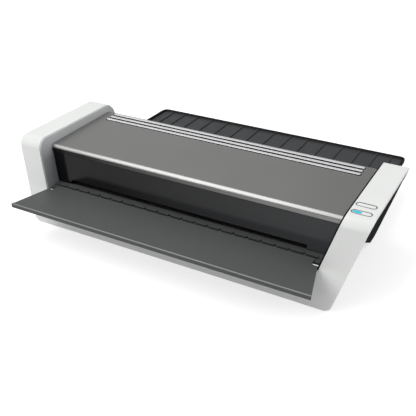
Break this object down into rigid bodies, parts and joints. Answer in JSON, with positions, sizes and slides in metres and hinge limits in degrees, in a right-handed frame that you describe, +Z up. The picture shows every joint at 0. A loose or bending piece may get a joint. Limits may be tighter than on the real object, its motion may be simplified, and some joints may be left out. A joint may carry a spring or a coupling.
{
  "type": "pouch laminator",
  "caption": "Desktop A3 pouch laminator with a fold-down input flap, pull-off output tray, touch buttons and driven hot rollers between two white end caps.",
  "frame": {"origin": "on the floor, under the centre of the whole object's box", "axes": "+X to the operator's right along the rollers, +Y to the rear in the direction that pouches travel, +Z up"},
  "size_m": [0.482, 0.3786, 0.1117],
  "materials": {
    "white_gloss": "gloss white moulding",
    "liner_grey": "satin grey moulding",
    "dark_plastic": "fine textured dark moulding",
    "cover_metal": "satin graphite metal with a polished front edge",
    "black_gloss": "polished black",
    "silver": "bright silver",
    "flap_grey": "satin dark grey",
    "steel": "zinc plated sheet",
    "bronze": "sintered bronze",
    "silicone": "matte silicone",
    "nylon": "natural nylon",
    "aluminium": "milled",
    "rubber": "matte",
    "board_green": "solder mask",
    "lens_blue": "translucent, lit",
    "motor_can": "drawn can",
    "wire": "insulated wire"
  },
  "bodies": {
    "machine": {"base_tray": "dark_plastic", "right_end_cap": "white_gloss", "left_end_cap": "white_gloss", "right_cap_liner": "liner_grey", "left_cap_liner": "liner_grey", "right_side_cover": "dark_plastic", "left_side_cover": "dark_plastic", "front_lower_panel": "white_gloss", "top_cover": "cover_metal", "vent_frame": "black_gloss", "vent_slats": "silver", "front_panel": "black_gloss", "feed_ledge": "dark_plastic", "rear_panel": "dark_plastic", "power_inlet": "black_gloss", "button_bezels": "silver", "button_board": "board_green", "button_domes": "rubber", "rubber_feet": "rubber", "base_screws": "steel", "left_chassis_plate": "steel", "right_chassis_plate": "steel", "tie_rods": "steel", "roller_bushes": "bronze", "pressure_springs": "steel", "idler_stud": "steel", "drive_motor": "motor_can", "lower_heat_plate": "aluminium", "upper_heat_plate": "aluminium", "heating_strips": "bronze", "thermostat": "black_gloss", "heat_shield": "steel", "entry_guides": "steel", "exit_guides": "steel", "control_board": "board_green", "power_board": "board_green", "inlet_wires": "wire"},
    "flap": {"input_flap": "flap_grey", "flap_hinge_pins": "steel"},
    "tray": {"output_tray": "dark_plastic"},
    "power_key": {"power_button": "white_gloss", "power_led_lens": "lens_blue"},
    "reverse_key": {"reverse_button": "white_gloss"},
    "idler": {"idler_gear": "nylon"},
    "motor_output": {"motor_gear": "nylon"},
    "front_lower_roller": {"front_lower_shaft": "steel", "front_lower_sleeve": "silicone", "front_lower_gear": "nylon"},
    "front_upper_roller": {"front_upper_shaft": "steel", "front_upper_sleeve": "silicone", "front_upper_gear": "nylon"},
    "rear_lower_roller": {"rear_lower_shaft": "steel", "rear_lower_sleeve": "silicone", "rear_lower_gear": "nylon"},
    "rear_upper_roller": {"rear_upper_shaft": "steel", "rear_upper_sleeve": "silicone", "rear_upper_gear": "nylon"}
  },
  "joints": [
    {"name": "flap_hinge", "type": "hinge", "parent": "machine", "child": "flap", "pos_m": [0, -0.13, 0.0479], "axis": [-1, 0, 0], "range_deg": [0, 100]},
    {"name": "tray_pull_off", "type": "slide", "parent": "machine", "child": "tray", "axis": [0, 1, 0], "range_m": [0, 0.03]},
    {"name": "power_press", "type": "slide", "parent": "machine", "child": "power_key", "axis": [0, 0, -1], "range_m": [0, 0.001], "stiffness_N_per_m": 900, "springref_m": -0.0004},
    {"name": "reverse_press", "type": "slide", "parent": "machine", "child": "reverse_key", "axis": [0, 0, -1], "range_m": [0, 0.001], "stiffness_N_per_m": 900, "springref_m": -0.0004},
    {"name": "front_lower_spin", "type": "hinge", "parent": "machine", "child": "front_lower_roller", "pos_m": [0, -0.075, 0.0392], "axis": [1, 0, 0], "continuous": true},
    {"name": "front_upper_spin", "type": "hinge", "parent": "machine", "child": "front_upper_roller", "pos_m": [0, -0.075, 0.0658], "axis": [1, 0, 0], "continuous": true},
    {"name": "rear_lower_spin", "type": "hinge", "parent": "machine", "child": "rear_lower_roller", "pos_m": [0, -0.02, 0.0392], "axis": [1, 0, 0], "continuous": true},
    {"name": "rear_upper_spin", "type": "hinge", "parent": "machine", "child": "rear_upper_roller", "pos_m": [0, -0.02, 0.0658], "axis": [1, 0, 0], "continuous": true},
    {"name": "idler_spin", "type": "hinge", "parent": "machine", "child": "idler", "pos_m": [0, -0.0475, 0.02696], "axis": [1, 0, 0], "continuous": true},
    {"name": "motor_spin", "type": "hinge", "parent": "machine", "child": "motor_output", "pos_m": [0, -0.09736, 0.02354], "axis": [1, 0, 0], "continuous": true}
  ],
  "couplings": [
    {"joint": "front_upper_spin", "follows": "front_lower_spin", "ratio": -1},
    {"joint": "rear_lower_spin", "follows": "front_lower_spin", "ratio": 1},
    {"joint": "rear_upper_spin", "follows": "front_lower_spin", "ratio": -1},
    {"joint": "idler_spin", "follows": "front_lower_spin", "ratio": -0.79167},
    {"joint": "motor_spin", "follows": "front_lower_spin", "ratio": -0.95}
  ]
}
